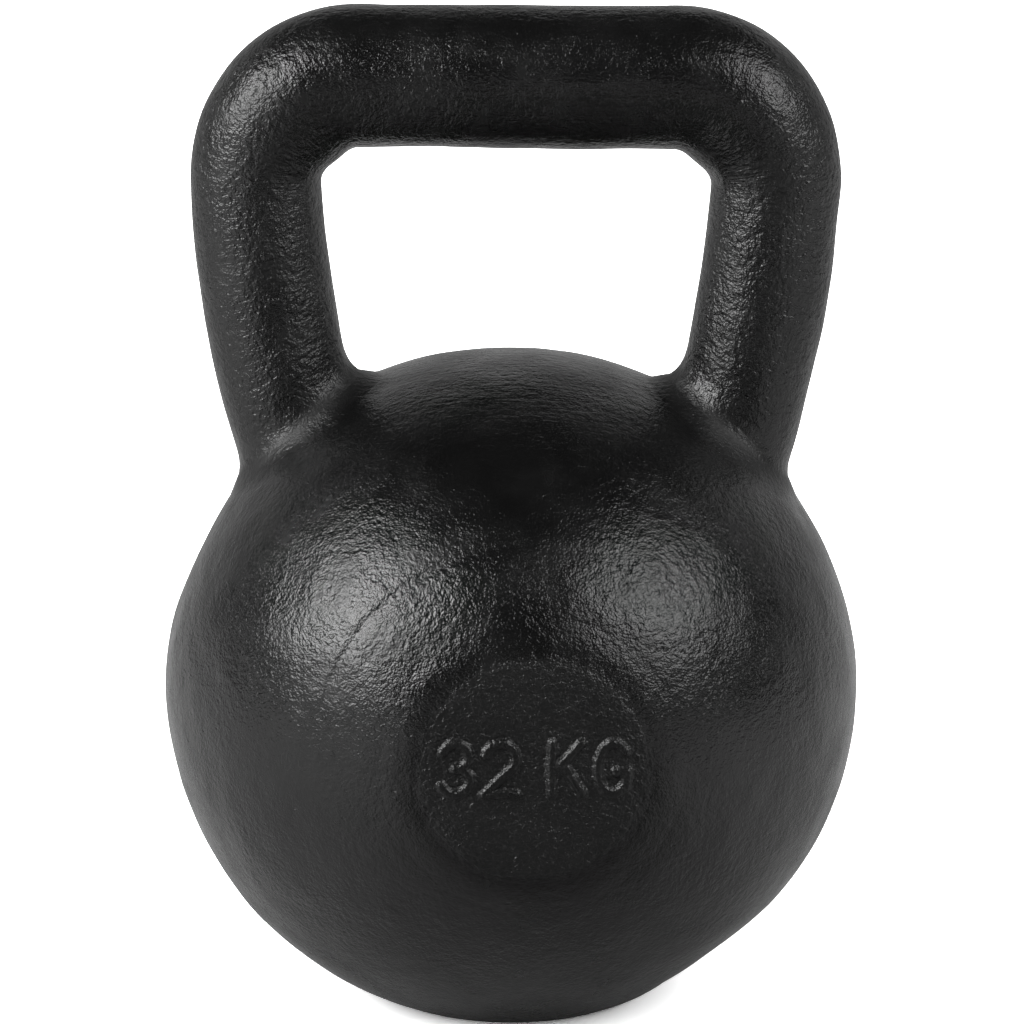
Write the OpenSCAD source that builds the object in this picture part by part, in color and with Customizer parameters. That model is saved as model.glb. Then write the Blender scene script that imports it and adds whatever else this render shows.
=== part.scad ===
// Cast-iron kettlebell, 32 kg class: one sand casting with a ground foot, and
// the trim weight that a threaded plug closes into a bore in that foot.
// Millimetres, +Z up. The origin is the middle of the foot, the bar runs
// along X and the marked pad faces -Y.

/* [Ball] */
// Diameter of the ball
ball_d = 201; // [165:1:242]
// Height of the flattened crown above the ball's centre
crown_h = 95.5; // [82:0.5:100]
// Diameter of the flat ground foot
foot_d = 75; // [64:1:96]

/* [Handle] */
// Height of the top of the grip bar above the foot
overall_h = 289; // [270:1:348]
// Width over the two legs at their widest
handle_w = 184; // [165:1:215]
// Diameter of the grip bar
grip_d = 40; // [32:0.5:48.5]
// Diameter of each leg
leg_d = 36.5; // [30:0.5:42]
// Bend radius of the handle's centre line
bend_r = 29.5; // [25:0.5:34]
// Extra thickness in the crook of each bend
crook_fill = 1.5; // [0:0.25:3]
// Angle by which each leg leans inwards just below its bend
leg_lean = 3.5; // [1:0.5:8]
// Radius of each leg's outward bow
bow_r = 390; // [300:10:1500]
// Size of the blend where a leg runs into the ball, in the window and on the faces
root_blend = 15; // [8:1:20]
// Size of the same blend on the outer side of the leg
root_blend_out = 6; // [4:1:16]

/* [Pads] */
// Diameter of the flat round pad on the front and on the back
pad_d = 64; // [50:1:80]
// How far the pads are turned from square to the bar
pad_turn = 4; // [0:0.5:8]

/* [Trim cavity] */
// Diameter of the blind bore that holds the trim shot
bore_d = 32; // [28:0.5:38.5]
// Depth of the shot's space above its retainer disc
shot_space = 48; // [34:1:70]
// Diameter of the threaded counterbore and of its plug
plug_d = 42; // [40:0.5:50]
// Thickness of the plug
plug_t = 12; // [10:0.5:16]
// How far the plug sits back from the foot
plug_recess = 1; // [0.5:0.25:3]
// Hexagon socket in the plug, across its flats
socket_af = 14; // [10:1:17]
// Depth of the hexagon socket
socket_depth = 7; // [4:0.5:8]
// Chamfer round the plug's outer edge and the counterbore's mouth
edge_chamfer = 0.8; // [0.4:0.1:1.2]

/* [Small parts] */
// Diameter of one steel shot
shot_d = 7.5; // [6:0.5:10]
// Thickness of the retainer disc under the shot
disc_t = 2; // [1.5:0.25:4]
// Thickness of the sealing washer over the plug
washer_t = 1.5; // [1:0.25:3]
// How far the washer's rim reaches in under the retainer disc
disc_seat = 3; // [2:0.25:5]

/* [Clearances] */
// Gap all round a piece that lies in a bore
side_gap = 0.15; // [0.05:0.05:0.4]
// Gap between neighbouring shots
shot_gap = 0.12; // [0.05:0.01:0.4]

/* [Fineness] */
// Points round the handle and round the ball
ring_points = 48; // [32:4:52]
// Sections along one corner of the handle
bend_steps = 12; // [6:1:12]
// Sections along one leg
leg_steps = 11; // [8:1:12]
// Sections over one half of the ball
ball_steps = 25; // [20:1:26]

/* [Hidden] */
$fn = 96;
eps = 0.5;

ball_r = ball_d / 2;
grip_r = grip_d / 2;
leg_r = leg_d / 2;
crown_ratio = crown_h / ball_r;
ball_z = sqrt(ball_r * ball_r - foot_d * foot_d / 4);
pad_out = sqrt(ball_r * ball_r - pad_d * pad_d / 4);

// Centre line of the handle, from the ball's centre: bar, bend, bowed leg.
// The bow is an arc about bow_c. It is carried on to the height of the ball's centre.
bar_z = overall_h - grip_r - ball_z;
bend_c = [handle_w / 2 - leg_r - bend_r, 0, bar_z - bend_r];
bow_c = bend_c + (bend_r - bow_r) * outward(leg_lean);
bow_end = asin(bow_c.z / bow_r);

// Where the leg's axis enters the ball, as an angle from the vertical
root_point = bow_point(bow_r, 0, root_turn(bow_r, 0, leg_lean, bow_end, 20));
root_angle = atan2(root_point.x, root_point.z);
root_spread = asin(leg_r / ball_r) + 6;

// Heights of the pieces in the trim cavity, from the foot upwards
plug_top = plug_recess + plug_t;
seat_z = plug_top + washer_t;
disc_z = seat_z;
shot_z = disc_z + disc_t;
bore_top = shot_z + shot_space;

// The shot lies in layers: a ring against the bore's wall and three in the middle.
shot_pitch = shot_d + shot_gap;
shot_ring_r = bore_d / 2 - side_gap - shot_d / 2;
shot_ring_count = floor(180 / asin(shot_pitch / (2 * shot_ring_r)));
shot_core_r = shot_pitch / sqrt(3);
shot_layers = floor((shot_space - shot_gap) / shot_pitch);

function lerp(a, b, t) = a + (b - a) * t;

function outward(a) = [cos(a), 0, -sin(a)];

// A point at radius r from the bow's centre, turned a below the horizontal
function bow_point(r, y, a) = bow_c + r * outward(a) + [0, y, 0];

// The flattened upper half of the ball, stretched back to a true sphere
function stretched(p) = [p.x, p.y, p.z > 0 ? p.z / crown_ratio : p.z];

// The turn at which a line along the leg enters the ball, by halving the span
function root_turn(r, y, low, high, steps) =
    let (middle = (low + high) / 2)
    steps == 0 ? middle :
    norm(stretched(bow_point(r, y, middle))) > ball_r
        ? root_turn(r, y, middle, high, steps - 1)
        : root_turn(r, y, low, middle, steps - 1);

// The point of the ball in the unit direction d
function on_ball(d) = d * ball_r / norm(stretched(d));

// A round section of the handle about centre c, with its outer side towards n
function section(c, n, r) = [
    for (i = [0 : ring_points - 1])
        let (a = 360 * i / ring_points)
        c + r * cos(a) * n + [0, r * sin(a), 0]
];

// Slide p onto the blended surface of leg and ball by Newton steps. The blend is
// the polynomial smooth minimum of the two distances, tighter on the outer side.
function settle(p, steps) =
    steps == 0 ? p :
    let (
        turn = min(atan2(bow_c.z - p.z, p.x - bow_c.x), bow_end),
        across = p - bow_point(bow_r, 0, turn),
        leg_gap = norm(across) - leg_r,
        side = across * outward(turn) / norm(across),
        blend = lerp(root_blend, root_blend_out, (1 + side) / 2),
        s = stretched(p),
        ball_gap = norm(s) - ball_r,
        ball_slope = [s.x, s.y, p.z > 0 ? s.z / crown_ratio : s.z] / norm(s),
        share = min(1, max(0, 0.5 + (ball_gap - leg_gap) / (2 * blend))),
        gap = lerp(ball_gap, leg_gap, share) - blend * share * (1 - share),
        slope = lerp(ball_slope, across / norm(across), share)
    )
    settle(p - slope * gap / (slope * slope), steps - 1);

function settled(ring) = [for (p = ring) settle(p, 5)];

function bar_ring() = section([0, 0, bar_z], [0, 0, 1], grip_r);

// The crook of the bend is filled a little, and the outside keeps its radius.
function bend_ring(t) =
    let (turn = lerp(-90, leg_lean, t), fill = crook_fill * pow(sin(180 * t), 2) / 2)
    section(bend_c + (bend_r - fill) * outward(turn), outward(turn), lerp(grip_r, leg_r, t) + fill);

function leg_ring(t) = [
    for (i = [0 : ring_points - 1])
        let (
            a = 360 * i / ring_points,
            r = bow_r + leg_r * cos(a),
            y = leg_r * sin(a),
            root = root_turn(r, y, leg_lean, bow_end, 20)
        )
        bow_point(r, y, lerp(leg_lean, root, t))
];

// Circles on the ball that open from the leg's root to the circle in the YZ plane
function ball_ring(t) =
    let (
        a = lerp(root_angle, 90, t),
        spread = lerp(root_spread, 90, t),
        pole = [sin(a), 0, cos(a)],
        away = outward(a)
    )
    [
        for (i = [0 : ring_points - 1])
            let (w = 360 * i / ring_points)
            on_ball(cos(spread) * pole + sin(spread) * (cos(w) * away + [0, sin(w), 0]))
    ];

// Rings of the +X half, from the middle of the bar to the middle of the ball
function half_rings() = concat(
    [bar_ring()],
    [for (k = [0 : bend_steps]) bend_ring(k / bend_steps)],
    [for (k = [1 : leg_steps]) settled(leg_ring(k / leg_steps))],
    [for (k = [0 : ball_steps]) settled(ball_ring(k / ball_steps))]
);

function mirrored(ring) = [for (p = ring) [-p.x, p.y, p.z]];

// The skin closes on itself through the handle's window, as a torus does.
module skin() {
    half = half_rings();
    last = len(half) - 1;
    rings = concat(half, [for (k = [last - 1 : -1 : 1]) mirrored(half[k])]);
    count = len(rings);
    points = [for (ring = rings) for (p = ring) p];
    faces = [
        for (k = [0 : count - 1])
            for (i = [0 : ring_points - 1])
                let (
                    j = (i + 1) % ring_points,
                    a = k * ring_points + i,
                    b = k * ring_points + j,
                    c = ((k + 1) % count) * ring_points + j,
                    d = ((k + 1) % count) * ring_points + i
                )
                for (f = [[a, b, c], [a, c, d]]) f
    ];
    translate([0, 0, ball_z]) polyhedron(points, faces, convexity = 6);
}

module foot_cut() {
    translate([-ball_d, -ball_d, -ball_d]) cube([2 * ball_d, 2 * ball_d, ball_d]);
}

// Cuts the flat pads square to the line that pad_turn turns from the Y axis
module pad_cuts() {
    translate([0, 0, ball_z]) rotate([0, 0, pad_turn])
        for (side = [-1, 1])
            translate([-ball_r, side > 0 ? pad_out : -pad_out - ball_r, -ball_r])
                cube([ball_d, ball_r, ball_d]);
}

module cavity_cut() {
    translate([0, 0, -eps]) cylinder(d = plug_d, h = seat_z + eps);
    translate([0, 0, seat_z - eps]) cylinder(d = bore_d, h = bore_top - seat_z + eps);
    mouth_r = plug_d / 2 + edge_chamfer;
    translate([0, 0, -eps])
        cylinder(r1 = mouth_r + eps, r2 = plug_d / 2 - eps, h = edge_chamfer + 2 * eps);
}

module casting() {
    color([0.10, 0.10, 0.11])
        difference() {
            skin();
            foot_cut();
            pad_cuts();
            cavity_cut();
        }
}

module trim_shot() {
    color([0.55, 0.56, 0.58])
        for (layer = [0 : shot_layers - 1])
            translate([0, 0, shot_z + shot_pitch * (layer + 0.5)]) {
                for (i = [0 : shot_ring_count - 1])
                    rotate([0, 0, 360 * i / shot_ring_count])
                        translate([shot_ring_r, 0, 0]) sphere(d = shot_d);
                for (i = [0 : 2])
                    rotate([0, 0, 120 * i])
                        translate([shot_core_r, 0, 0]) sphere(d = shot_d);
            }
}

module shot_retainer() {
    color([0.62, 0.63, 0.65])
        translate([0, 0, disc_z]) cylinder(d = bore_d - 2 * side_gap, h = disc_t);
}

module plug_washer() {
    color([0.72, 0.45, 0.25])
        translate([0, 0, plug_top])
            difference() {
                cylinder(d = plug_d - 2 * side_gap, h = washer_t);
                translate([0, 0, -eps])
                    cylinder(d = bore_d - 2 * disc_seat, h = washer_t + 2 * eps);
            }
}

module cavity_plug() {
    r = plug_d / 2;
    socket_r = socket_af / sqrt(3);
    color([0.35, 0.36, 0.38])
        translate([0, 0, plug_recess])
            difference() {
                rotate_extrude()
                    polygon([
                        [0, 0], [r - edge_chamfer, 0], [r, edge_chamfer],
                        [r, plug_t - edge_chamfer], [r - edge_chamfer, plug_t], [0, plug_t]
                    ]);
                translate([0, 0, -eps]) cylinder(r = socket_r, h = socket_depth + eps, $fn = 6);
            }
}

casting();
trim_shot();
shot_retainer();
plug_washer();
cavity_plug();
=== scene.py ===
"""A 32 kg cast-iron kettlebell in a white studio, built round its frame.

The casting is one enamelled sand casting. Its skin is worked out as a surface
on a grid, with a finer face for each flat pad and a turned piece for the
ground foot. The plug, washer, disc and shot in its cavity are the frame's own
nodes with their finishes. Lengths are metres, unless a name ends in _mm.
"""

import logging
import math
from dataclasses import dataclass, field
from enum import Enum
from typing import Any

import bpy
import numpy as np
from mathutils import Matrix, Vector

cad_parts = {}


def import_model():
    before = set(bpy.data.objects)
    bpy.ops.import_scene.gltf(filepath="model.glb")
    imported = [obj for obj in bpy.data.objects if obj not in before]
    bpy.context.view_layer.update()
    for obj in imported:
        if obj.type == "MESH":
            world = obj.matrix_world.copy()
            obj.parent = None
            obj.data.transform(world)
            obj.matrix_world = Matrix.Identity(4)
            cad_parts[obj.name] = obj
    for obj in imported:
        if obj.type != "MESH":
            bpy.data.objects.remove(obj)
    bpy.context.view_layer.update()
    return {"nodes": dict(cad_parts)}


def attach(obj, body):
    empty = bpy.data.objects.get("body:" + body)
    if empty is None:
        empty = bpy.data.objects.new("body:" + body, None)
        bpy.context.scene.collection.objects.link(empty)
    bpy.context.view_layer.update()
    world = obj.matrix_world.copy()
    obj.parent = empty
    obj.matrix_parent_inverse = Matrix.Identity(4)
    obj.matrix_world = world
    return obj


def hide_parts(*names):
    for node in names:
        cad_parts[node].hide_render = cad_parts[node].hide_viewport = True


log = logging.getLogger("kettlebell")


class Side(Enum):
    """The two faces of the ball that carry a flat pad."""

    FRONT = -1.0
    BACK = 1.0


# --- helpers


def linear(hex_colour: str) -> tuple[float, float, float, float]:
    """Turns an sRGB hex colour into linear light.

    Args:
        hex_colour: Six hex digits, with or without a leading hash.

    Returns:
        Linear red, green, blue and an alpha of 1.
    """
    digits = hex_colour.lstrip("#")
    parts = [int(digits[i : i + 2], 16) / 255 for i in (0, 2, 4)]
    lin = [c / 12.92 if c <= 0.04045 else ((c + 0.055) / 1.055) ** 2.4 for c in parts]
    return lin[0], lin[1], lin[2], 1.0


def smooth(low: float, high: float, value: np.ndarray) -> np.ndarray:
    """Eases from 0 to 1 between two bounds, as 3t^2 - 2t^3.

    Args:
        low: Where the result is 0.
        high: Where the result is 1. It may be less than low.
        value: The values to ease.

    Returns:
        The eased values.
    """
    t = np.clip((value - low) / (high - low), 0, 1)
    return t * t * (3 - 2 * t)


class Nodes:
    """The node tree of a material or a world, filled one node at a time."""

    def __init__(self, owner: Any) -> None:
        """Clears the tree.

        Args:
            owner: The material or world.
        """
        owner.use_nodes = True
        self.tree = owner.node_tree
        self.tree.nodes.clear()

    def __call__(self, kind: str, links: dict[Any, Any] | None = None, **settings: Any) -> Any:
        """Adds one node with its settings and its incoming links.

        Args:
            kind: The node's Blender type, without its "ShaderNode".
            links: Input name or number to an output socket or a constant.
            settings: Properties of the node itself.

        Returns:
            The new node.
        """
        node = self.tree.nodes.new("ShaderNode" + kind)
        for name, value in settings.items():
            setattr(node, name, value)
        for name, value in (links or {}).items():
            if isinstance(value, bpy.types.NodeSocket):
                self.tree.links.new(value, node.inputs[name])
            else:
                node.inputs[name].default_value = value
        return node

    def math(self, operation: str, *values: Any) -> Any:
        """Gives the result of one operation on its values, in their order."""
        return self("Math", dict(enumerate(values)), operation=operation).outputs[0]

    def ease(self, value: Any, low: float, high: float, bottom: float = 0.0, top: float = 1.0) -> Any:
        """Gives a value eased from bottom, where it is low, to top, where it is high."""
        links = {"Value": value, "From Min": low, "From Max": high, "To Min": bottom, "To Max": top}
        return self("MapRange", links, interpolation_type="SMOOTHSTEP").outputs["Result"]

    def noise(self, vector: Any, size_mm: float, detail: float, rough: float = 0.5) -> Any:
        """Gives a field of noise with features of that size."""
        links = {"Vector": vector, "Scale": 1000 / size_mm, "Detail": detail, "Roughness": rough}
        return self("TexNoise", links).outputs["Fac"]

    def surface(self, height_mm: Any, links: dict[str, Any]) -> None:
        """Ends a material in a principled shader over a relief.

        Args:
            height_mm: The relief's height.
            links: The shader's other inputs.
        """
        bump = self("Bump", {"Height": height_mm, "Distance": 0.001, "Strength": 1.0}).outputs["Normal"]
        shader = self("BsdfPrincipled", {**links, "Normal": bump})
        self("OutputMaterial", {"Surface": shader.outputs[0]})


def lattice_noise(points: np.ndarray, wavelength: float, seed: int) -> np.ndarray:
    """Smooth random field in space, between about -1 and 1.

    Random values from an integer hash stand on a cubic lattice, and between
    them the field follows 6t^5 - 15t^4 + 10t^3 along each axis.

    Args:
        points: Positions, with x, y, z last.
        wavelength: Spacing of the lattice.
        seed: Chooses the field.

    Returns:
        One value for each point.
    """
    cell = points / wavelength + 91.7 * (seed + 1)
    low = np.floor(cell).astype(np.int64)
    t = cell - low
    t = t * t * t * (t * (6 * t - 15) + 10)
    total = np.zeros(points.shape[:-1])
    for corner in range(8):
        step = np.array([corner & 1, corner >> 1 & 1, corner >> 2 & 1])
        key = (low + step) @ np.array([73856093, 19349663, 83492791]) + seed * 2654435761
        key = (key ^ (key >> 13)) * 1274126177 & 0x7FFFFFFF
        key = (key ^ (key >> 15)) * 668265263 & 0x7FFFFFFF
        value = (key ^ (key >> 11)) % 65536 / 32767.5 - 1
        total += value * np.prod(np.where(step, t, 1 - t), axis=-1)
    return total


def grid_normals(grid: np.ndarray) -> np.ndarray:
    """Unit normals of a grid that closes on itself both ways.

    Each is the cross product of the central differences along the two
    directions of the grid.

    Args:
        grid: Positions as rings, points, xyz.

    Returns:
        Unit vectors of the same shape, outward for the rings used here.
    """
    along = np.roll(grid, -1, 0) - np.roll(grid, 1, 0)
    around = np.roll(grid, -1, 1) - np.roll(grid, 1, 1)
    normal = np.cross(along, around)
    return normal / np.maximum(np.linalg.norm(normal, axis=-1, keepdims=True), 1e-12)


def band_quads(rings: int, points: int, closed: bool) -> np.ndarray:
    """Corner numbers of the quads between neighbouring rings.

    Args:
        rings: How many rings there are.
        points: Points on each ring, which always closes on itself.
        closed: True if the last ring joins the first.

    Returns:
        An array of four corner numbers for each quad.
    """
    k = np.arange(rings if closed else rings - 1)[:, None]
    i = np.arange(points)[None, :]
    after, beside = (k + 1) % rings * points, (i + 1) % points
    quads = [k * points + i, k * points + beside, after + beside, after + i]
    return np.stack([q + 0 * k + 0 * i for q in quads], -1).reshape(-1, 4)


def circle(points: int) -> np.ndarray:
    """Angles of equal steps round a full turn."""
    return 2 * math.pi * np.arange(points) / points


def fan(centre: int, start: int, points: int) -> np.ndarray:
    """Corner numbers of the triangles from a centre to a closed ring.

    Args:
        centre: Number of the centre point.
        start: Number of the ring's first point.
        points: Points on the ring.

    Returns:
        An array of three corner numbers for each triangle.
    """
    i = np.arange(points)
    return np.stack([0 * i + centre, start + i, start + (i + 1) % points], -1)


def make_piece(name: str, points: np.ndarray, faces: list[Any], **values: np.ndarray) -> bpy.types.Object:
    """Makes a smooth-shaded object at the origin from arrays.

    Args:
        name: Name of the piece.
        points: Positions, one row each.
        faces: Corner numbers of each face.
        values: Point attributes by name: one number or one vector each.

    Returns:
        The new object, linked to the scene.
    """
    mesh = bpy.data.meshes.new(name)
    mesh.from_pydata(points.tolist(), [], faces)
    mesh.polygons.foreach_set("use_smooth", np.ones(len(mesh.polygons), dtype=bool))
    for key, value in values.items():
        vector = value.ndim == 2
        attribute = mesh.attributes.new(key, "FLOAT_VECTOR" if vector else "FLOAT", "POINT")
        attribute.data.foreach_set("vector" if vector else "value", value.astype(np.float32).ravel())
    mesh.validate()
    mesh.update()
    piece = bpy.data.objects.new(name, mesh)
    bpy.context.scene.collection.objects.link(piece)
    return piece


# --- finishes


@dataclass(frozen=True)
class Layer:
    """One layer of noise in a surface's height.

    It lies under the mask that where names. Its features are size_mm across
    and up to depth_mm high, and squeeze and turn draw them out.
    """

    where: str
    size_mm: float
    depth_mm: float
    detail: float
    rough: float
    squeeze: tuple[float, float, float] = (1.0, 1.0, 1.0)
    turn: float = 0.0


@dataclass(frozen=True)
class CastEnamel:
    """Black air-drying enamel, brushed and poured over rough sand-cast iron.

    The iron is blasted but not filled, so the sand's grain and the scabs of
    the mould show through the paint. The eye gets a wet black gloss broken
    into small glints, drag marks round the handle, and a drier felt-like
    grain on the sunk pads where the paint lay thin. The foot is ground bare.
    """

    colour: str = "050505"
    thick_colour: str = "080808"
    bare_colour: str = "6f6d69"
    roughness: float = 0.20
    pad_roughness: float = 0.33
    bare_roughness: float = 0.36
    pit_mm: float = 3.4
    pit_depth_mm: float = 0.12
    # Share of the pits' cells that hold none
    no_pit: float = 0.72
    ring_r: float = 0.0590
    ring_width: float = 0.0019
    pad_turn: float = math.radians(4.0)
    centre_z: float = 0.0932
    # Heights between which the crown's and the lower half's brush marks begin
    crown_z: tuple[float, float] = (0.166, 0.184)
    low_z: tuple[float, float] = (0.085, 0.060)
    # Orange peel, sand grain and scabs all over; brush marks round the handle,
    # along the crown and up the lower half; short flecks on the pads; straight
    # lines of the grinding belt on the foot
    layers: tuple[Layer, ...] = (
        Layer("patches", 1.8, 0.30, 2.5, 0.6),
        Layer("paint", 0.62, 0.17, 1.5, 0.6),
        Layer("paint", 9.0, 0.42, 2.0, 0.5),
        Layer("grip", 1.2, 0.30, 2.0, 0.6, (1.0, 0.14, 0.14)),
        Layer("grip", 3.2, 0.50, 3.0, 0.65),
        Layer("crown", 1.4, 0.26, 2.0, 0.6, (0.10, 1.0, 1.0)),
        Layer("low", 1.5, 0.030, 2.0, 0.55, (1.0, 1.0, 0.10)),
        Layer("pad", 1.15, 0.68, 2.0, 0.55, (0.75, 0.75, 1.0), 0.35),
        Layer("ground", 0.35, 0.018, 3.0, 0.6, (1.0, 0.012, 1.0)),
    )

    def material(self) -> bpy.types.Material:
        """Builds the enamel's nodes.

        Returns:
            The material, named for the finish.
        """
        material = bpy.data.materials.new("black_enamel_on_sand_cast_iron")
        node = Nodes(material)
        place = node("TexCoord").outputs["Object"]
        pad, grip, ground, crease = (
            node("Attribute", attribute_name=name).outputs["Fac"]
            for name in ("pad", "grip", "ground", "crease")
        )
        lay = node("Attribute", attribute_name="lay").outputs["Vector"]
        up = node("SeparateXYZ", {0: place}).outputs["Z"]

        # Clouds of noise, each eased between two levels of its value. Patches
        # are coarse or fine, dry is the sheen, thick the tint, and rubbed how
        # clean the grinding left the foot.
        clouds = {}
        for name, size_mm, low, high, bottom, top in (
            ("patches", 34, 0.36, 0.66, 0.70, 1.40),
            ("dry", 16, 0.35, 0.70, self.roughness - 0.05, self.roughness + 0.09),
            ("thick", 22, 0.30, 0.70, 0.0, 1.0),
            ("rubbed", 6, 0.24, 0.44, 0.55, 1.0),
        ):
            clouds[name] = node.ease(node.noise(place, size_mm, 3.0, 0.55), low, high, bottom, top)

        # Where each layer lies: the foot keeps none of the painted skin's.
        paint = node.math("SUBTRACT", 1.0, ground)
        shares = []
        for low, high in (self.crown_z, self.low_z):
            shares.append(node.ease(up, low, high))
        off_grip = node.math("SUBTRACT", 1.0, grip)
        coarse = node.math("MULTIPLY_ADD", grip, 0.9, 1.0)
        coarse = node.math("MULTIPLY", coarse, paint)
        masks = {"paint": paint, "grip": grip, "pad": pad, "ground": ground}
        for name, one, other in (
            ("patches", clouds["patches"], coarse),
            ("crown", shares[0], off_grip),
            ("low", shares[1], paint),
        ):
            masks[name] = node.math("MULTIPLY", one, other)

        # Pits: blowholes one to two mm across, drawn out a little sideways.
        flat = node("Mapping", {"Vector": place, "Scale": (0.75, 0.75, 1.25)}).outputs["Vector"]
        cells = node("TexVoronoi", {"Vector": flat, "Scale": 1000 / self.pit_mm})
        chosen = node("SeparateColor", {0: cells.outputs["Color"]}).outputs[0]
        links = {"Value": chosen, "From Min": self.no_pit, "From Max": 1.0, "To Min": 0.02, "To Max": 0.18}
        width = node("MapRange", links).outputs["Result"]
        sunk = node.math("SUBTRACT", cells.outputs["Distance"], width)
        depth = node.ease(sunk, 0.05, -0.07, 0.0, -self.pit_depth_mm)
        some = node.math("GREATER_THAN", chosen, self.no_pit)
        some = node.math("MULTIPLY", some, coarse)
        pits = node.math("MULTIPLY", depth, some)

        # A faint witness ring of the pattern plate, round each pad's upper half.
        links = {"Vector": place, "Location": (0.0, 0.0, -self.centre_z), "Rotation": (0.0, 0.0, -self.pad_turn)}
        turned = node("Mapping", links).outputs["Vector"]
        level = node("VectorMath", {0: turned, 1: (1.0, 0.0, 1.0)}, operation="MULTIPLY")
        away = node("VectorMath", {0: level.outputs[0]}, operation="LENGTH").outputs["Value"]
        off = node.math("ABSOLUTE", node.math("SUBTRACT", away, self.ring_r))
        turned_axes = node("SeparateXYZ", {0: turned})
        groove: Any = -1.0
        for value, low, high, bottom, top in (
            (off, 0.0, self.ring_width, 1.0, 0.0),
            (turned_axes.outputs["Z"], 0.0, 0.025, 0.0, 0.24),
            (turned_axes.outputs["X"], -0.014, 0.004, 1.0, 0.30),
        ):
            share = node.ease(value, low, high, bottom, top)
            groove = node.math("MULTIPLY", groove, share)
        height = node.math("ADD", pits, groove)

        # Heights are in mm. The handle's layer follows the lay of its section.
        for layer in self.layers:
            vector = lay if layer.where == "grip" else place
            links = {"Vector": vector, "Scale": layer.squeeze, "Rotation": (0.0, layer.turn, 0.0)}
            mapped = node("Mapping", links).outputs["Vector"]
            noise = node.noise(mapped, layer.size_mm, layer.detail, layer.rough)
            rise = node.math("MULTIPLY", noise, layer.depth_mm)
            height = node.math("MULTIPLY_ADD", rise, masks[layer.where], height)

        # Paint lies drier on the handle, in the leg's crease and on the pads.
        rough = clouds["dry"]
        for share, more in ((grip, 0.06), (crease, 0.30)):
            rough = node.math("MULTIPLY_ADD", share, more, rough)
        for share, value in ((pad, self.pad_roughness), (ground, self.bare_roughness)):
            rough = node("Mix", {0: share, 2: rough, 3: value}, data_type="FLOAT").outputs[0]
        bare = node.math("MULTIPLY", clouds["rubbed"], ground)
        colour = linear(self.colour)
        for share, tone in ((clouds["thick"], self.thick_colour), (bare, self.bare_colour)):
            colour = node("Mix", {0: share, 6: colour, 7: linear(tone)}, data_type="RGBA").outputs[2]
        node.surface(height, {"Base Color": colour, "Roughness": rough, "Metallic": bare, "IOR": 1.5})
        return material


@dataclass(frozen=True)
class BareMetal:
    """A bare metal of the trim cavity, with the marks of how it was made.

    Rings about the Z axis stand for turning, and a grain for rolling, drawing
    or shot peening.
    """

    name: str
    colour: str
    stain: str
    roughness: float
    spacing_mm: float
    turning_depth: float
    grain_mm: float
    grain_depth: float
    metallic: float = 1.0

    def material(self) -> bpy.types.Material:
        """Builds the metal's nodes.

        Returns:
            The material, named for the metal.
        """
        material = bpy.data.materials.new(self.name)
        node = Nodes(material)
        place = node("TexCoord").outputs["Object"]
        # A ring repeats after pi / 10 of the scaled distance.
        links = {"Vector": place, "Scale": math.pi * 100 / self.spacing_mm, "Distortion": 0.6, "Detail": 2.0}
        turning = node("TexWave", links, wave_type="RINGS", rings_direction="Z").outputs["Fac"]
        grain = node.noise(place, self.grain_mm, 3.0)
        rings = node.math("MULTIPLY", turning, self.turning_depth)
        height = node.math("MULTIPLY_ADD", grain, self.grain_depth, rings)
        cloud = node("TexNoise", {"Vector": place, "Scale": 140.0, "Detail": 4.0, "Roughness": 0.6}).outputs["Fac"]
        worn = node.ease(cloud, 0.38, 0.66)
        colour = node("Mix", {0: worn, 6: linear(self.colour), 7: linear(self.stain)}, data_type="RGBA").outputs[2]
        links = {"Value": cloud, "To Min": self.roughness - 0.08, "To Max": self.roughness + 0.12}
        rough = node("MapRange", links).outputs["Result"]
        node.surface(height, {"Base Color": colour, "Roughness": rough, "Metallic": self.metallic})
        return material


# Shot is cast, rolled hard and peened: dull steel with small dents.
SHOT_STEEL = BareMetal("peened_steel_shot", "8d8f92", "5c5a57", 0.38, 6.0, 0.0, 0.5, 0.02)
# The disc is punched from cold-rolled strip: bright, with rolling grain.
DISC_STEEL = BareMetal("cold_rolled_steel_disc", "a9abae", "7d7c7a", 0.30, 1.6, 0.006, 0.4, 0.008)
# The washer is stamped soft copper: warm, a little tarnished.
WASHER_COPPER = BareMetal("annealed_copper_washer", "b8694a", "7c4632", 0.34, 1.2, 0.004, 0.5, 0.008)
# The plug is turned from bar and oil-blackened: dark, with turning rings.
PLUG_STEEL = BareMetal("oil_blackened_turned_steel", "26272a", "3d3a36", 0.40, 1.4, 0.012, 0.5, 0.008, 0.85)


# --- the casting


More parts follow.
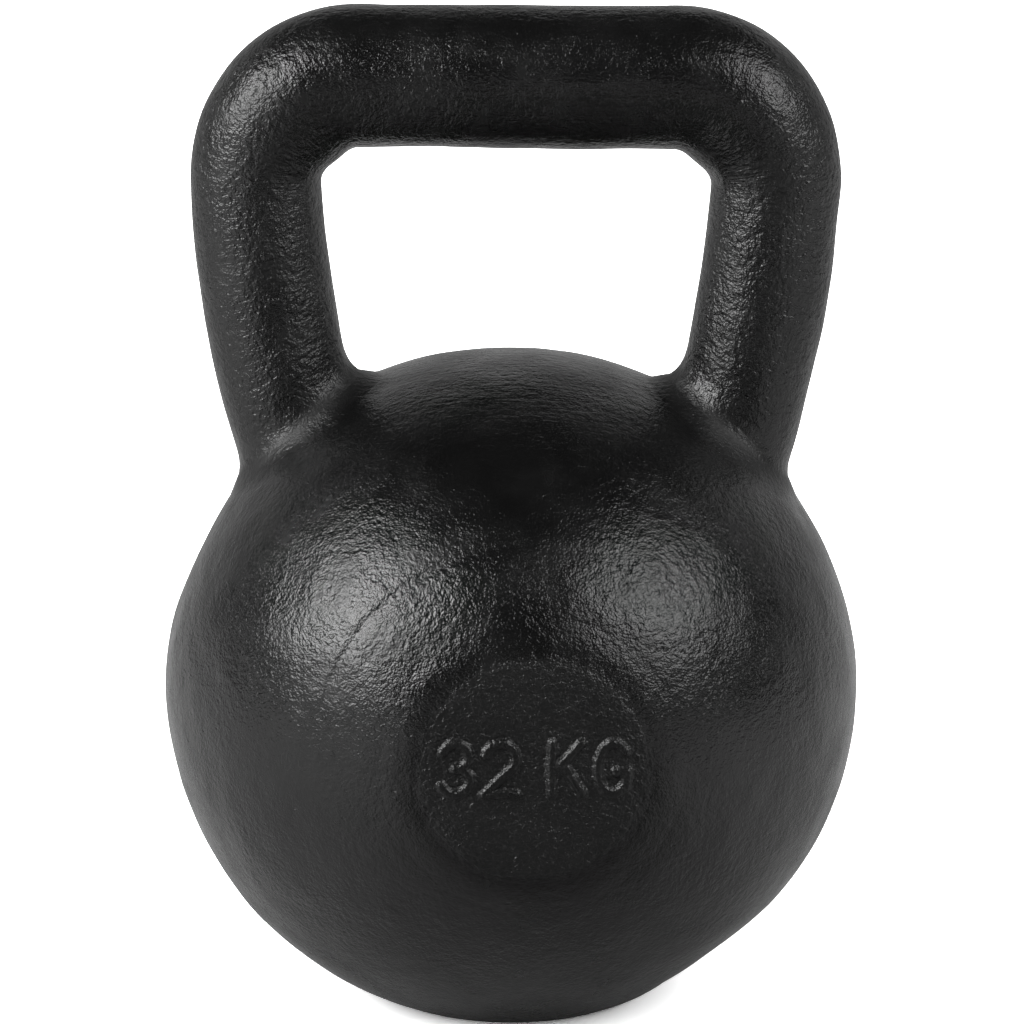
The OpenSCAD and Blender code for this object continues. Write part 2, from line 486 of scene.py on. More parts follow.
@dataclass
class Casting:
    """Sizes and surface of the one sand casting."""

    ball_d: float = 0.201
    crown_h: float = 0.0955
    foot_d: float = 0.075
    overall_h: float = 0.289
    handle_w: float = 0.184
    grip_d: float = 0.040
    leg_d: float = 0.0365
    bend_r: float = 0.0295
    crook_fill: float = 0.0015
    leg_lean: float = math.radians(3.5)
    bow_r: float = 0.390
    root_blend: float = 0.015
    root_blend_out: float = 0.006
    pad_d: float = 0.064
    pad_turn: float = math.radians(4.0)
    pad_edge: float = 0.0026
    points: int = 256
    bar_steps: int = 22
    bend_steps: int = 28
    leg_steps: int = 48
    ball_steps: int = 84
    # Flat spots where the mould sagged, and fuller ones below 0: centre from the
    # ball's centre, reach, depth
    sags: tuple[tuple[float, ...], ...] = (
        (-0.090, 0.012, 0.041, 0.025, 0.0031),
        (0.091, 0.012, 0.041, 0.020, 0.0006),
        (0.058, -0.023, -0.078, 0.026, 0.0018),
        (-0.086, 0.0, 0.112, 0.036, -0.0009),
        (0.086, 0.0, 0.112, 0.036, -0.0006),
        (-0.068, 0.0, 0.178, 0.026, -0.0010),
        (0.068, 0.0, 0.178, 0.026, -0.0011),
    )
    # The well inside the foot that keeps the trim cavity clear
    well_r: float = 0.0270
    well_top: float = 0.0720
    # How far the skin dips under the finer faces, and how fast the grip fades
    dip: float = 0.00016
    pad_sink: float = 0.0009
    fade_steps: int = 14

    @property
    def ball_r(self) -> float:
        """Radius of the ball."""
        return self.ball_d / 2

    @property
    def crown_ratio(self) -> float:
        """How much the upper half is flattened."""
        return self.crown_h / self.ball_r

    @property
    def ball_z(self) -> float:
        """Height of the ball's centre above the foot."""
        return math.sqrt(self.ball_r**2 - self.foot_d**2 / 4)

    @property
    def ball_centre(self) -> np.ndarray:
        """Centre of the ball, on the axis."""
        return np.array([0.0, 0.0, self.ball_z])

    @property
    def bar_z(self) -> float:
        """Height of the bar's axis above the ball's centre."""
        return self.overall_h - self.grip_d / 2 - self.ball_z

    @property
    def pad_out(self) -> float:
        """Distance of the pad's plane from the ball's centre."""
        return math.sqrt(self.ball_r**2 - self.pad_d**2 / 4)

    @property
    def bend_centre(self) -> np.ndarray:
        """Centre of the +X bend."""
        x = self.handle_w / 2 - self.leg_d / 2 - self.bend_r
        return np.array([x, 0.0, self.bar_z - self.bend_r])

    @property
    def bow_centre(self) -> np.ndarray:
        """Centre of the arc that the +X leg follows."""
        out = np.array([math.cos(self.leg_lean), 0.0, -math.sin(self.leg_lean)])
        return self.bend_centre + (self.bend_r - self.bow_r) * out

    @property
    def bow_end(self) -> float:
        """Turn of the bow at the height of the ball's centre."""
        return math.asin(self.bow_centre[2] / self.bow_r)

    def outward(self, turn: Any) -> np.ndarray:
        """Unit direction in the XZ plane, turned below the +X axis."""
        turn = np.asarray(turn, dtype=float)
        return np.stack([np.cos(turn), 0 * turn, -np.sin(turn)], -1)

    def stretched(self, p: np.ndarray) -> np.ndarray:
        """Stretches the flattened upper half back to a true sphere."""
        z = np.where(p[..., 2] > 0, p[..., 2] / self.crown_ratio, p[..., 2])
        return np.stack([p[..., 0], p[..., 1], z], -1)

    def bow_point(self, r: Any, y: Any, turn: Any) -> np.ndarray:
        """Places a point about the bow's centre.

        Args:
            r: Radius from that centre.
            y: Place across.
            turn: Turn below the horizontal.

        Returns:
            The position, from the ball's centre.
        """
        turn = np.asarray(turn, dtype=float)
        away = np.asarray(r)[..., None] * self.outward(turn)
        away[..., 1] += y
        return self.bow_centre + away

    def root_turn(self, r: np.ndarray, y: np.ndarray) -> np.ndarray:
        """The turn at which lines along the leg enter the ball, by halving.

        Args:
            r: Radius of each line from the bow's centre.
            y: Its place across.

        Returns:
            One turn for each line.
        """
        low = np.full_like(r, self.leg_lean)
        high = np.full_like(r, self.bow_end)
        for _ in range(22):
            middle = (low + high) / 2
            reach = np.linalg.norm(self.stretched(self.bow_point(r, y, middle)), axis=-1)
            low = np.where(reach > self.ball_r, middle, low)
            high = np.where(reach > self.ball_r, high, middle)
        return (low + high) / 2

    def from_leg(self, p: np.ndarray) -> tuple[np.ndarray, np.ndarray]:
        """Finds the nearest point of the leg's bowed centre line.

        Args:
            p: Points of the +X side, from the ball's centre.

        Returns:
            The turn of that nearest point, and the vector from it.
        """
        q = p - self.bow_centre
        turn = np.minimum(np.arctan2(-q[..., 2], q[..., 0]), self.bow_end)
        return turn, p - self.bow_point(np.full_like(turn, self.bow_r), 0.0, turn)

    def settle(self, p: np.ndarray) -> np.ndarray:
        """Slides points onto the blended surface of leg and ball.

        Newton steps on the polynomial smooth minimum of the two distances,
        a - k s (1 - s), whose width k is tighter on the outer side.

        Args:
            p: Points near the surface, from the ball's centre.

        Returns:
            The points on the surface.
        """
        leg_r = self.leg_d / 2
        for _ in range(7):
            turn, across = self.from_leg(p)
            width = np.linalg.norm(across, axis=-1)
            leg_gap = width - leg_r
            side = (across * self.outward(turn)).sum(-1) / width
            blend = self.root_blend + (self.root_blend_out - self.root_blend) * (1 + side) / 2
            s = self.stretched(p)
            reach = np.linalg.norm(s, axis=-1)
            ball_gap = reach - self.ball_r
            slope = s.copy()
            slope[..., 2] = np.where(p[..., 2] > 0, s[..., 2] / self.crown_ratio, s[..., 2])
            slope /= reach[..., None]
            share = np.clip(0.5 + (ball_gap - leg_gap) / (2 * blend), 0, 1)
            gap = ball_gap * (1 - share) + leg_gap * share - blend * share * (1 - share)
            slope = slope * (1 - share)[..., None] + across / width[..., None] * share[..., None]
            p = p - slope * (gap / (slope**2).sum(-1))[..., None]
        return p

    def crease_at(self, p: np.ndarray) -> np.ndarray:
        """How deep points lie in the blend between leg and ball, from 0 to 1.

        It grows with the lesser of the distances to the unblended leg and
        ball, which are both above 0 only in the blend.

        Args:
            p: Points on the surface, from the ball's centre.

        Returns:
            One share for each point.
        """
        p = p * np.where(p[..., :1] < 0, [-1.0, 1.0, 1.0], [1.0, 1.0, 1.0])
        leg_gap = np.linalg.norm(self.from_leg(p)[1], axis=-1) - self.leg_d / 2
        ball_gap = np.linalg.norm(self.stretched(p), axis=-1) - self.ball_r
        return smooth(0.0002, 0.0022, np.minimum(leg_gap, ball_gap)) * (p[..., 2] < 0.115)

    def half_rings(self) -> np.ndarray:
        """Rings of the +X half: bar, bend, leg, then circles over the ball.

        A ring of the handle is a circle square to its centre line. A ring of
        the ball is cut by a cone about an axis that tips from the leg's root
        to the X axis while the cone opens to a plane.

        Returns:
            Positions as rings, points, xyz, from the ball's centre.
        """
        around = circle(self.points)
        cos, sin = np.cos(around)[None, :], np.sin(around)[None, :]
        grip_r, leg_r = self.grip_d / 2, self.leg_d / 2

        x = np.linspace(0, self.bend_centre[0], self.bar_steps, endpoint=False)[:, None]
        bar = np.stack([x + 0 * cos, grip_r * sin + 0 * x, self.bar_z + grip_r * cos + 0 * x], -1)

        t = np.linspace(0, 1, self.bend_steps + 1)
        turn = -math.pi / 2 + (self.leg_lean + math.pi / 2) * t
        fill = self.crook_fill * np.sin(math.pi * t) ** 2 / 2
        way = self.outward(turn)
        middle = self.bend_centre + (self.bend_r - fill)[:, None] * way
        r = (grip_r + (leg_r - grip_r) * t + fill)[:, None]
        bend = middle[:, None] + (r * cos)[..., None] * way[:, None]
        bend[..., 1] += r * sin

        reach = self.bow_r + leg_r * cos[0]
        root = self.root_turn(reach, leg_r * sin[0])
        t = (np.arange(1, self.leg_steps + 1) / self.leg_steps)[:, None]
        leg = self.bow_point(reach + 0 * t, leg_r * sin + 0 * t, self.leg_lean + (root - self.leg_lean) * t)

        axis_turn = self.root_turn(np.array([self.bow_r]), np.array([0.0]))
        foot = self.bow_point(np.array([self.bow_r]), 0.0, axis_turn)[0]
        start = math.atan2(foot[0], foot[2])
        spread_0 = math.asin(leg_r / self.ball_r) + math.radians(6)
        t = (np.arange(self.ball_steps + 1) / self.ball_steps)[:, None]
        tip = start + (math.pi / 2 - start) * t
        spread = spread_0 + (math.pi / 2 - spread_0) * t
        pole = np.stack([np.sin(tip), 0 * tip, np.cos(tip)], -1)
        away = np.stack([np.cos(tip), 0 * tip, -np.sin(tip)], -1)
        across = cos[..., None] * away + sin[..., None] * np.array([0.0, 1.0, 0.0])
        ray = np.cos(spread)[..., None] * pole + np.sin(spread)[..., None] * across
        ball = ray * (self.ball_r / np.linalg.norm(self.stretched(ray), axis=-1))[..., None]
        return np.concatenate([bar, bend, self.settle(leg), self.settle(ball)])

    def unevenness(self, p: np.ndarray) -> np.ndarray:
        """How far the mould stands off its true shape, outwards.

        Three octaves of lattice noise, the longest for the mould's sag, less
        a Gaussian for each flat spot. It dies out at the ground foot.

        Args:
            p: Positions in the shared frame.

        Returns:
            One offset in metres for each point.
        """
        local = p - self.ball_centre
        rise = 0.00045 * lattice_noise(p, 0.055, 3)
        rise += 0.00022 * lattice_noise(p, 0.021, 5)
        rise += 0.00016 * lattice_noise(p, 0.0105, 8)
        for sag in self.sags:
            away = np.linalg.norm(local - np.array(sag[:3]), axis=-1)
            rise -= sag[4] * np.exp(-((away / sag[3]) ** 2))
        return rise * smooth(0.0005, 0.010, p[..., 2])

    def pad_axes(self, side: Side) -> np.ndarray:
        """Right, up and out directions of a pad, seen from outside.

        Args:
            side: Which of the two pads.

        Returns:
            The three unit vectors as rows.
        """
        turn = self.pad_turn
        right = -side.value * np.array([math.cos(turn), math.sin(turn), 0.0])
        out = side.value * np.array([-math.sin(turn), math.cos(turn), 0.0])
        return np.stack([right, np.array([0.0, 0.0, 1.0]), out])

    def pad_blend(self, ball: Any, plane: Any) -> Any:
        """Smooth minimum of the ball's and the pad plane's heights.

        With s from 0 to 1 across a band of width 2k, it is the mix of the two
        by s, less k s (1 - s).

        Args:
            ball: Height of the ball along the pad's axis.
            plane: Height of the pad's plane.

        Returns:
            The blended height.
        """
        k = self.pad_edge
        share = np.clip(0.5 + (ball - plane) / (2 * k), 0, 1)
        return plane * share + ball * (1 - share) - k * share * (1 - share)

    def build_skin(self) -> bpy.types.Object:
        """Builds the casting's whole skin as one closed grid.

        The rings of both halves close on themselves through the handle's
        window, as a torus does. Behind each pad the skin dips under the pad's
        own face, and at the foot it rises into a well round the trim cavity.

        Returns:
            The piece.
        """
        half = self.half_rings()
        steps = np.linalg.norm(np.diff(half.mean(1), axis=0), axis=-1)
        length = np.concatenate([[0.0], np.cumsum(steps)])
        last_leg = self.bar_steps + self.bend_steps + 1 + self.leg_steps
        radius = np.linalg.norm(half - half.mean(1, keepdims=True), axis=-1)
        around = circle(self.points)
        lay = np.stack([length[:, None] + 0 * radius, radius * np.cos(around), radius * np.sin(around)], -1)
        share = np.ones(len(half))
        share[last_leg:] = 0
        fade = self.fade_steps
        share[last_leg - fade : last_leg + 1] = smooth(1, 0, np.arange(fade + 1) / fade)
        bent = self.bar_steps + self.bend_steps
        share[:bent] = 0.40 + 0.60 * smooth(self.bar_steps, bent, np.arange(bent))
        grip = share[:, None] + 0 * radius

        mirror = half[-2:0:-1] * np.array([-1.0, 1.0, 1.0])
        grid = np.concatenate([half, mirror])
        lay = np.concatenate([lay, lay[-2:0:-1] * np.array([-1.0, 1.0, 1.0])])
        grip = np.concatenate([grip, grip[-2:0:-1]])
        crease = self.crease_at(grid)
        grid[..., 2] += self.ball_z
        true = grid.copy()
        normal = grid_normals(grid)
        grid = grid + normal * self.unevenness(grid)[..., None]

        for side in Side:
            right, up, out = self.pad_axes(side)
            local = true - self.ball_centre
            r = np.hypot(local @ right, local @ up)
            facing = local @ out > 0
            dip = self.dip * smooth(0.047, 0.036, r) * facing
            grid = grid - normal * dip[..., None]
            ball = local @ out
            drop = ball - self.pad_blend(ball, self.pad_out) + self.pad_sink * smooth(0.041, 0.035, r)
            grid = grid - (drop * facing * (r < 0.050))[..., None] * out

        r = np.hypot(true[..., 0], true[..., 1])
        low = true[..., 2] < self.ball_z
        grid -= normal * (self.dip * smooth(0.052, 0.044, r) * low)[..., None]
        base = np.maximum(grid[..., 2], 0.0004)
        rise = smooth(self.well_r + 0.004, self.well_r, r) * low
        grid[..., 2] = np.where(low, base + (self.well_top - base) * rise, grid[..., 2])

        faces = band_quads(len(grid), self.points, True)[:, ::-1].tolist()
        values = {"lay": lay.reshape(-1, 3), "grip": grip.ravel(), "crease": crease.ravel()}
        return make_piece("casting_skin", grid.reshape(-1, 3), faces, **values)


@dataclass
class PadFace:
    """The flat pad on one side of the ball, with its own fine face."""

    casting: Casting
    side: Side
    rings: int = 132
    points: int = 480
    reach: float = 0.049
    letter_h: float = 0.0168
    stroke: float = 0.0026
    relief: float = 0.0011
    letters: tuple[tuple[str, float, float], ...] = field(
        default=(("3", -0.0269, 0.0107), ("2", -0.0151, 0.0115), ("K", 0.0035, 0.0109), ("G", 0.0160, 0.0109))
    )
    baseline: float = -0.0080

    def arc(self, cx: float, cy: float, rx: float, ry: float, start: float, end: float) -> np.ndarray:
        """Points of an elliptic arc in a letter's unit box, angles in degrees."""
        turn = np.radians(np.linspace(start, end, 15))
        return np.stack([cx + rx * np.cos(turn), cy + ry * np.sin(turn)], -1)

    def strokes(self, letter: str) -> list[np.ndarray]:
        """Centre lines of a letter in a unit box, made of arcs and lines.

        Args:
            letter: One of the characters of the mass mark.

        Returns:
            Polylines, each an array of points.
        """
        if letter == "3":
            return [self.arc(0.50, 0.75, 0.46, 0.25, 160, -90), self.arc(0.50, 0.26, 0.50, 0.26, 90, -160)]
        if letter == "2":
            bowl = self.arc(0.50, 0.70, 0.48, 0.30, 165, -30)
            return [np.concatenate([bowl, np.array([[0.02, 0.0], [1.0, 0.0]])])]
        if letter == "K":
            stem = np.array([[0.0, 0.0], [0.0, 1.0]])
            arm = np.array([[0.96, 1.0], [0.05, 0.40]])
            leg = np.array([[0.36, 0.60], [1.0, 0.0]])
            return [stem, arm, leg]
        bowl = self.arc(0.52, 0.5, 0.52, 0.5, 42, 318)
        return [bowl, np.array([[0.92, 0.10], [0.98, 0.42], [0.60, 0.42]])]

    def relief_at(self, u: np.ndarray, v: np.ndarray) -> np.ndarray:
        """Height of the raised mass mark at points of the pad.

        The height falls from the relief to 0 as the distance from the nearest
        centre line passes half a stroke, with a soft fillet on both edges.

        Args:
            u: Distance right of the pad's centre.
            v: Distance above it.

        Returns:
            One height for each point.
        """
        if self.side is not Side.FRONT:
            return np.zeros_like(u)
        half = self.stroke / 2
        nearest = np.full(u.shape, 1.0)
        for letter, left, width in self.letters:
            scale = np.array([width - self.stroke, self.letter_h - self.stroke])
            corner = np.array([left + half, self.baseline + half])
            for line in self.strokes(letter):
                line = line * scale + corner
                for a, b in zip(line[:-1], line[1:]):
                    way = b - a
                    t = ((u - a[0]) * way[0] + (v - a[1]) * way[1]) / (way @ way)
                    t = np.clip(t, 0, 1)
                    away = np.hypot(u - a[0] - t * way[0], v - a[1] - t * way[1])
                    nearest = np.minimum(nearest, away)
        return self.relief * smooth(half + 0.0005, half - 0.0007, nearest)

    def build(self) -> bpy.types.Object:
        """Builds the pad's face as a closed lens on a polar grid.

        The face is the smooth minimum of the pad's plane and the ball, in
        local right, up and out. Its rim dips under the skin, and a second
        sheet 4 mm behind closes it.

        Returns:
            The piece.
        """
        shape = self.casting
        axes = shape.pad_axes(self.side)
        t = np.linspace(0, 1, self.rings)[:, None]
        r = self.reach * (0.004 + 0.996 * t**0.92)
        turn = circle(self.points)[None, :]
        u, v = r * np.cos(turn), r * np.sin(turn)
        z = np.where(v > 0, v / shape.crown_ratio, v)
        ball = np.sqrt(shape.ball_r**2 - u**2 - z**2)
        local = np.stack([u, v, 0 * u + self.side.value * 0.05], -1)
        ease = smooth(0.018, 0.030, r + 0 * u) * smooth(0.042, 0.036, r + 0 * u)
        plane = shape.pad_out + 0.00035 * lattice_noise(local, 0.016, 21) * ease
        out = shape.pad_blend(ball, plane)
        front = np.stack([u, v, out], -1) @ axes + shape.ball_centre
        away = np.gradient(front, axis=0)
        along = np.roll(front, -1, 1) - np.roll(front, 1, 1)
        normal = np.cross(away, along)
        normal /= np.linalg.norm(normal, axis=-1, keepdims=True)
        rough = 0.00010 * lattice_noise(front, 0.0034, 12) + 0.00007 * lattice_noise(front, 0.0019, 13)
        flat = smooth(0.0335, 0.0295, r + 0 * u)
        lift = shape.unevenness(front) * (1 - 0.4 * flat) + rough * flat + self.relief_at(u, v)
        lift -= 0.00030 * smooth(0.039, 0.049, r + 0 * u)
        front = front + normal * lift[..., None]

        back = np.stack([u, v, np.minimum(out, shape.pad_out) - 0.004], -1)[::-1][::4]
        back = back @ axes + shape.ball_centre
        grid = np.concatenate([front, back])
        rings = len(grid)
        quads = band_quads(rings, self.points, False)[:, ::-1].tolist()
        centre = rings * self.points
        first = front[0].mean(0)
        last = back[-1].mean(0)
        points = np.concatenate([grid.reshape(-1, 3), first[None], last[None]])
        tail = (rings - 1) * self.points
        fans = [fan(centre, 0, self.points), fan(centre + 1, tail, self.points)[:, ::-1]]
        felt = flat * (1 - 0.35 * self.relief_at(u, v) / self.relief)
        pad = np.concatenate([felt.ravel(), np.zeros(back.shape[0] * self.points), [1.0, 0.0]])
        name = "marked_pad_face" if self.side is Side.FRONT else "plain_pad_face"
        return make_piece(name, points, quads + np.concatenate(fans).tolist(), pad=pad)


@dataclass
class GroundFoot:
    """The ground ring that the bell stands on, and the walls of its cavity."""

    casting: Casting
    points: int = 288
    mouth_r: float = 0.0218
    chamfer: float = 0.0008
    counterbore_r: float = 0.021
    counterbore_h: float = 0.0145
    bore_r: float = 0.016
    bore_h: float = 0.0645
    sleeve_r: float = 0.0325
    rim_r: float = 0.0525
    rim_points: int = 26
    flat_points: int = 10
    # A hair of a hole on the axis keeps every face of the shell four-sided
    core_r: float = 0.0004

    def profile(self) -> np.ndarray:
        """Radius and height of the turned outline, from the ball inwards.

        Returns:
            An array of points. It starts and ends inside the iron.
        """
        shape = self.casting
        low = np.linspace(self.rim_r, shape.foot_d / 2 + 0.0006, self.rim_points)
        fall = shape.ball_z - np.sqrt(shape.ball_r**2 - low**2)
        fall += 0.00030 * smooth(self.rim_r - 0.007, self.rim_r, low)
        edge = np.array([[shape.foot_d / 2 + 0.0001, 0.00012], [shape.foot_d / 2 - 0.0005, 0.0]])
        flat = np.linspace(shape.foot_d / 2 - 0.0015, self.mouth_r + 0.0006, self.flat_points)
        flat = np.stack([flat, 0 * flat], -1)
        deep, wide, bore = self.counterbore_h, self.counterbore_r, self.bore_r
        mouth = [[self.mouth_r + 0.0001, 0.0], [self.mouth_r - 0.0001, 0.0001]]
        mouth += [[wide + 0.0001, self.chamfer - 0.0001], [wide, self.chamfer + 0.0002], [wide, deep - 0.0002]]
        mouth += [[wide - 0.0001, deep], [bore + 0.0002, deep], [bore, deep + 0.0002], [bore, self.bore_h]]
        return np.concatenate([np.stack([low, fall], -1), edge, flat, mouth])

    def build(self) -> bpy.types.Object:
        """Builds the foot as a closed turned shell round the Z axis.

        Every point of the profile is turned about Z. A coarser outline inside
        the iron takes it back from the bore's top to the ball's rim.

        Returns:
            The piece.
        """
        shape = self.casting
        outline = self.profile()
        shown = len(outline)
        core, over, sleeve = self.core_r, self.bore_h + 0.004, self.sleeve_r
        inner = [[core, self.bore_h], [core, over], [sleeve, over], [sleeve, 0.022], [0.050, 0.022]]
        profile = np.concatenate([outline, inner])
        turn = circle(self.points)[None, :]
        r, z = profile[:, :1], profile[:, 1:]
        grid = np.stack([r * np.cos(turn), r * np.sin(turn), z + 0 * turn], -1)
        ball = grid[: self.rim_points]
        normal = ball - shape.ball_centre
        normal /= np.linalg.norm(normal, axis=-1, keepdims=True)
        grid[: self.rim_points] = ball + normal * shape.unevenness(ball)[..., None]
        outer = (np.arange(len(profile)) < shown)[:, None]
        ground = ((z < 0.00015) & (r > self.mouth_r - 0.0002) & outer) * 1.0 + 0 * turn
        faces = band_quads(len(profile), self.points, True)[:, ::-1].tolist()
        return make_piece("ground_foot", grid.reshape(-1, 3), faces, ground=ground.ravel())


@dataclass
class TrimShot:
    """The steel balls that bring the bell to its mass, in layers of the bore."""

    shot_d: float = 0.0075
    gap: float = 0.00012
    bore_d: float = 0.032
    side_gap: float = 0.00015
    low: float = 0.0165
    space: float = 0.048
    around: int = 20
    rings: int = 12

    def centres(self) -> np.ndarray:
        """Centres of the balls: a ring at the wall and three in the middle.

        Returns:
            One position for each ball.
        """
        pitch = self.shot_d + self.gap
        wall_r = self.bore_d / 2 - self.side_gap - self.shot_d / 2
        count = math.floor(math.pi / math.asin(pitch / (2 * wall_r)))
        outer = circle(count)
        inner = circle(3)
        x = np.concatenate([wall_r * np.cos(outer), pitch / math.sqrt(3) * np.cos(inner)])
        y = np.concatenate([wall_r * np.sin(outer), pitch / math.sqrt(3) * np.sin(inner)])
        layers = math.floor((self.space - self.gap) / pitch)
        z = self.low + pitch * (np.arange(layers) + 0.5)
        return np.stack([np.tile(x, layers), np.tile(y, layers), np.repeat(z, len(x))], -1)

    def build(self) -> bpy.types.Object:
        """Builds every ball as latitude circles with a point at each pole.

        A circle at latitude a has radius r cos a and height r sin a. The same
        ball is repeated at each centre.

        Returns:
            The piece.
        """
        r = self.shot_d / 2
        lift = np.linspace(-math.pi / 2, math.pi / 2, self.rings + 2)[1:-1, None]
        turn = circle(self.around)[None, :]
        ring = np.stack([np.cos(lift) * np.cos(turn), np.cos(lift) * np.sin(turn), np.sin(lift) + 0 * turn], -1)
        ball = r * np.concatenate([ring.reshape(-1, 3), [[0, 0, -1.0], [0, 0, 1.0]]])
        pole, top = len(ball) - 2, (self.rings - 1) * self.around
        quads = band_quads(self.rings, self.around, False)
        low_fan = fan(pole, 0, self.around)[:, ::-1]
        high_fan = fan(pole + 1, top, self.around)
        centres = self.centres()
        points = (centres[:, None] + ball[None]).reshape(-1, 3)
        offset = (np.arange(len(centres)) * len(ball))[:, None, None]
        faces: list[Any] = []
        for part in (quads, low_fan, high_fan):
            faces += (part[None] + offset).reshape(-1, part.shape[1]).tolist()
        return make_piece("steel_trim_shot", points, faces)


# --- the studio


@dataclass(frozen=True)
class Softbox:
    """One lamp: its direction from the ball, distance, face and power."""

    name: str
    way: tuple[float, float, float]
    away: float
    size: tuple[float, float]
    watts: float


# A softbox each side, brighter in its middle where the tube stands.
LEFT, RIGHT = (-0.75, -0.43, 0.50), (0.70, -0.43, 0.57)
SOFTBOXES = (
    Softbox("softbox_left", LEFT, 1.60, (1.20, 1.05), 25.0),
    Softbox("softbox_left_heart", LEFT, 1.55, (0.62, 0.62), 7.5),
    Softbox("softbox_right", RIGHT, 1.60, (1.05, 0.95), 10.0),
    Softbox("softbox_right_heart", RIGHT, 1.55, (0.52, 0.52), 2.6),
)


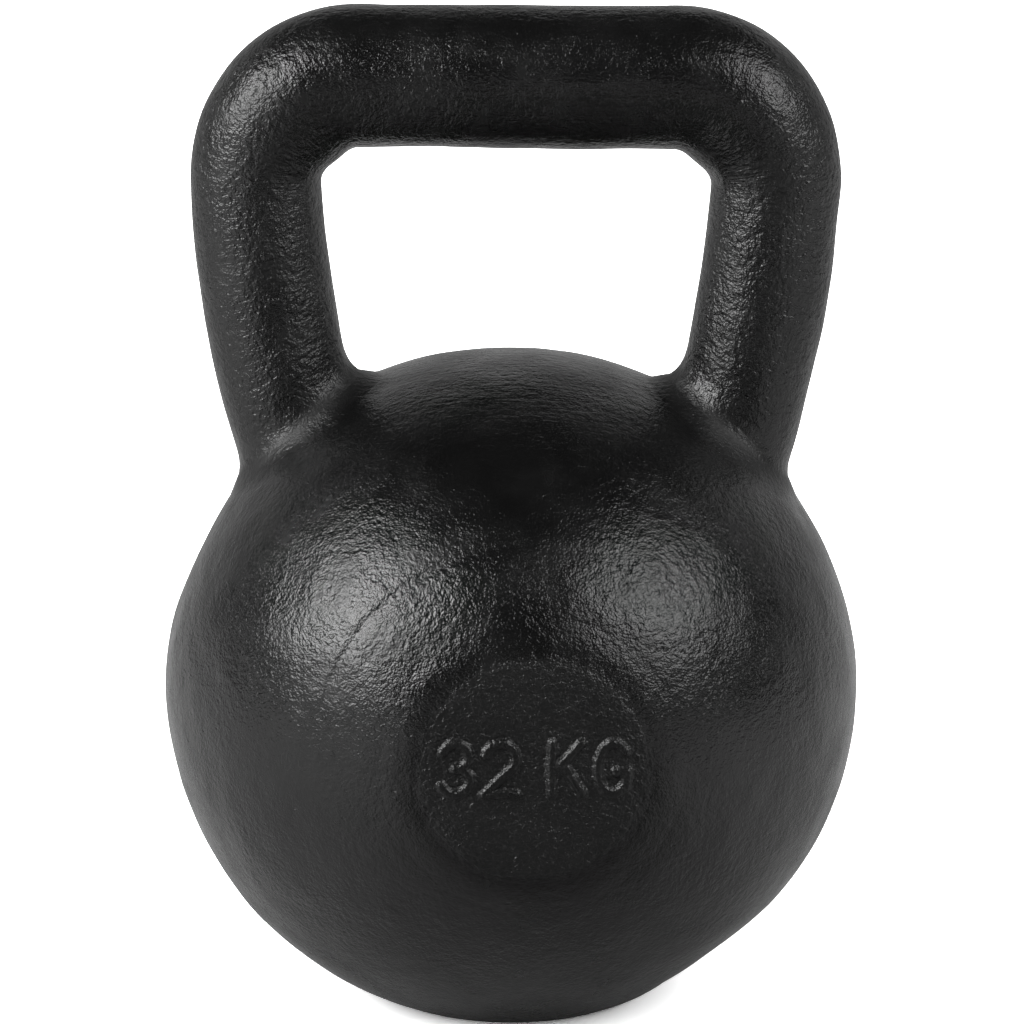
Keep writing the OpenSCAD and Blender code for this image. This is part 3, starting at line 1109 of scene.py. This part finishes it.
@dataclass
class Studio:
    """White sweep, two softboxes in front and the camera."""

    elevation: float = math.radians(15.65)
    distance: float = 1.4506
    lens_mm: float = 175.1
    above: float = math.radians(1.886)
    aside: float = math.radians(0.012)
    roll: float = math.radians(0.58)
    target_z: float = 0.0932
    white: float = 1.7
    backdrop: float = 0.45
    dark: float = 0.010
    # The painted dim oval of shade and the painted pool of light: shift, squeeze,
    # distances from its middle at which it begins and is full, strength
    painted_floor_spots: tuple[tuple[Any, ...], ...] = (
        ((-0.12, 0.75, 0.0), (2.6, 1.0, 1.0), 0.80, 0.50, 0.280),
        ((0.75, 0.50, 0.0), (1.0, 1.0, 1.0), 0.55, 0.15, 0.25),
    )

    def build_floor(self) -> bpy.types.Object:
        """Lays a plain matt white floor.

        Black cloth lies before the camera in a real studio. Reflections alone see
        the floor painted dimmer, with a painted dim oval of shade for that cloth and
        a painted pool of light under the left softbox.

        Returns:
            The floor.
        """
        across = np.array([-1.0, 1.0]) * 14
        x, y = np.meshgrid(across, across)
        points = np.stack([x.ravel(), y.ravel(), 0 * x.ravel()], -1)
        floor = make_piece("studio_floor", points, [[0, 1, 3, 2]])
        material = bpy.data.materials.new("matt_white_paper_painted_reflections")
        node = Nodes(material)
        place = node("TexCoord").outputs["Object"]
        painted_spots = []
        for shift, squeeze, begins, full, strength in self.painted_floor_spots:
            moved = node("Mapping", {"Vector": place, "Location": shift, "Scale": squeeze}).outputs[0]
            away = node("VectorMath", {0: moved}, operation="LENGTH").outputs["Value"]
            painted_spots.append(node.ease(away, begins, full, 0.0, strength))
        # Glossy rays see painted shade and light: the floor at 0.30, less the painted dim oval, plus a painted
        # pool of light under the left softbox
        painted_shade_and_light = node.math("SUBTRACT", 0.30, painted_spots[0])
        painted_shade_and_light = node.math("ADD", painted_shade_and_light, painted_spots[1])
        rays = node("LightPath")
        shown = node.math("MULTIPLY_ADD", rays.outputs["Is Camera Ray"], 0.90, 1.0)
        level = node("Mix", {0: rays.outputs["Is Glossy Ray"], 2: shown, 3: painted_shade_and_light}, data_type="FLOAT").outputs[0]
        colour = node("VectorMath", {0: linear("f4f4f4")[:3], "Scale": level}, operation="SCALE")
        shader = node("BsdfDiffuse", {"Color": colour.outputs[0]})
        node("OutputMaterial", {"Surface": shader.outputs[0]})
        floor.data.materials.append(material)
        return floor

    def build_world(self) -> None:
        """Sets a white room whose front and ceiling are black to reflections.

        Glossy rays see white only low down behind the object, as in a studio
        where black cloth hangs on the camera's side.
        """
        world = bpy.data.worlds.new("studio_room")
        bpy.context.scene.world = world
        node = Nodes(world)
        way = node("TexCoord").outputs["Generated"]
        axes = node("SeparateXYZ", {0: way})
        seen: Any = 1.0
        for name, low, high in (("Y", 0.20, 0.50), ("Z", 0.68, 0.52)):
            share = node.ease(axes.outputs[name], low, high)
            seen = node.math("MULTIPLY", seen, share)
        glossy = node("MapRange", {"Value": seen, "To Min": self.dark, "To Max": self.backdrop}).outputs["Result"]
        rays = node("LightPath")
        links = {0: rays.outputs["Is Glossy Ray"], 2: self.white, 3: glossy}
        level = node("Mix", links, data_type="FLOAT").outputs[0]
        back = node("Background", {"Color": (1, 1, 1, 1), "Strength": level})
        node("OutputWorld", {"Surface": back.outputs[0]})

    def build_lamp(self, lamp: Softbox) -> None:
        """Hangs one softbox that faces the ball.

        Args:
            lamp: The softbox.
        """
        data = bpy.data.lights.new(lamp.name, "AREA")
        data.shape = "RECTANGLE"
        data.size, data.size_y = lamp.size
        data.energy = lamp.watts
        holder = bpy.data.objects.new(lamp.name, data)
        ray = Vector(lamp.way).normalized()
        middle = Vector((0.0, 0.0, self.target_z))
        turn = (-ray).to_track_quat("-Z", "Y").to_matrix().to_4x4()
        holder.matrix_world = Matrix.Translation(middle + lamp.away * ray) @ turn
        bpy.context.scene.collection.objects.link(holder)

    def build_camera(self) -> None:
        """Stands the camera before the bell and tips it up from the ball."""
        data = bpy.data.cameras.new("camera")
        data.lens = self.lens_mm
        data.sensor_width = 36.0
        data.clip_end = 60.0
        camera = bpy.data.objects.new("camera", data)
        back = Vector((0.0, -math.cos(self.elevation), math.sin(self.elevation)))
        middle = Vector((0.0, 0.0, self.target_z))
        turn = back.to_track_quat("Z", "Y").to_matrix().to_4x4()
        tip = Matrix.Rotation(self.above, 4, "X") @ Matrix.Rotation(-self.aside, 4, "Y")
        camera.matrix_world = (
            Matrix.Translation(middle + self.distance * back)
            @ turn
            @ Matrix.Rotation(self.roll, 4, "Z")
            @ tip
        )
        bpy.context.scene.collection.objects.link(camera)
        bpy.context.scene.camera = camera

    def build(self) -> None:
        """Builds floor, room, lamps and camera."""
        self.build_floor()
        self.build_world()
        for lamp in SOFTBOXES:
            self.build_lamp(lamp)
        self.build_camera()
        scene = bpy.context.scene
        scene.view_settings.view_transform = "Standard"
        scene.view_settings.look = "None"
        scene.view_settings.exposure = 0.0
        scene.view_settings.gamma = 1.0


def main() -> None:
    """Builds the kettlebell round its frame and reports each piece."""
    logging.basicConfig(level=logging.INFO, format="%(name)s: %(message)s")
    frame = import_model()

    casting = Casting()
    enamel = CastEnamel(pad_turn=casting.pad_turn, centre_z=casting.ball_z).material()
    pieces = [
        casting.build_skin(),
        PadFace(casting, Side.FRONT).build(),
        PadFace(casting, Side.BACK, rings=70, points=240).build(),
        GroundFoot(casting).build(),
    ]
    for piece in pieces:
        piece.data.materials.append(enamel)
        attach(piece, "root")
        log.info("%s: %d faces", piece.name, len(piece.data.polygons))
    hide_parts("casting")

    shot = TrimShot().build()
    shot.data.materials.append(SHOT_STEEL.material())
    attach(shot, "root")
    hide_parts("trim_shot")
    log.info("%s: %d faces", shot.name, len(shot.data.polygons))

    finishes = {"shot_retainer": DISC_STEEL, "plug_washer": WASHER_COPPER, "cavity_plug": PLUG_STEEL}
    for name, finish in finishes.items():
        node = frame["nodes"][name]
        node.data.materials.clear()
        node.data.materials.append(finish.material())
        log.info("%s: finished as %s", name, finish.name)

    Studio().build()


if __name__ == "__main__":
    main()
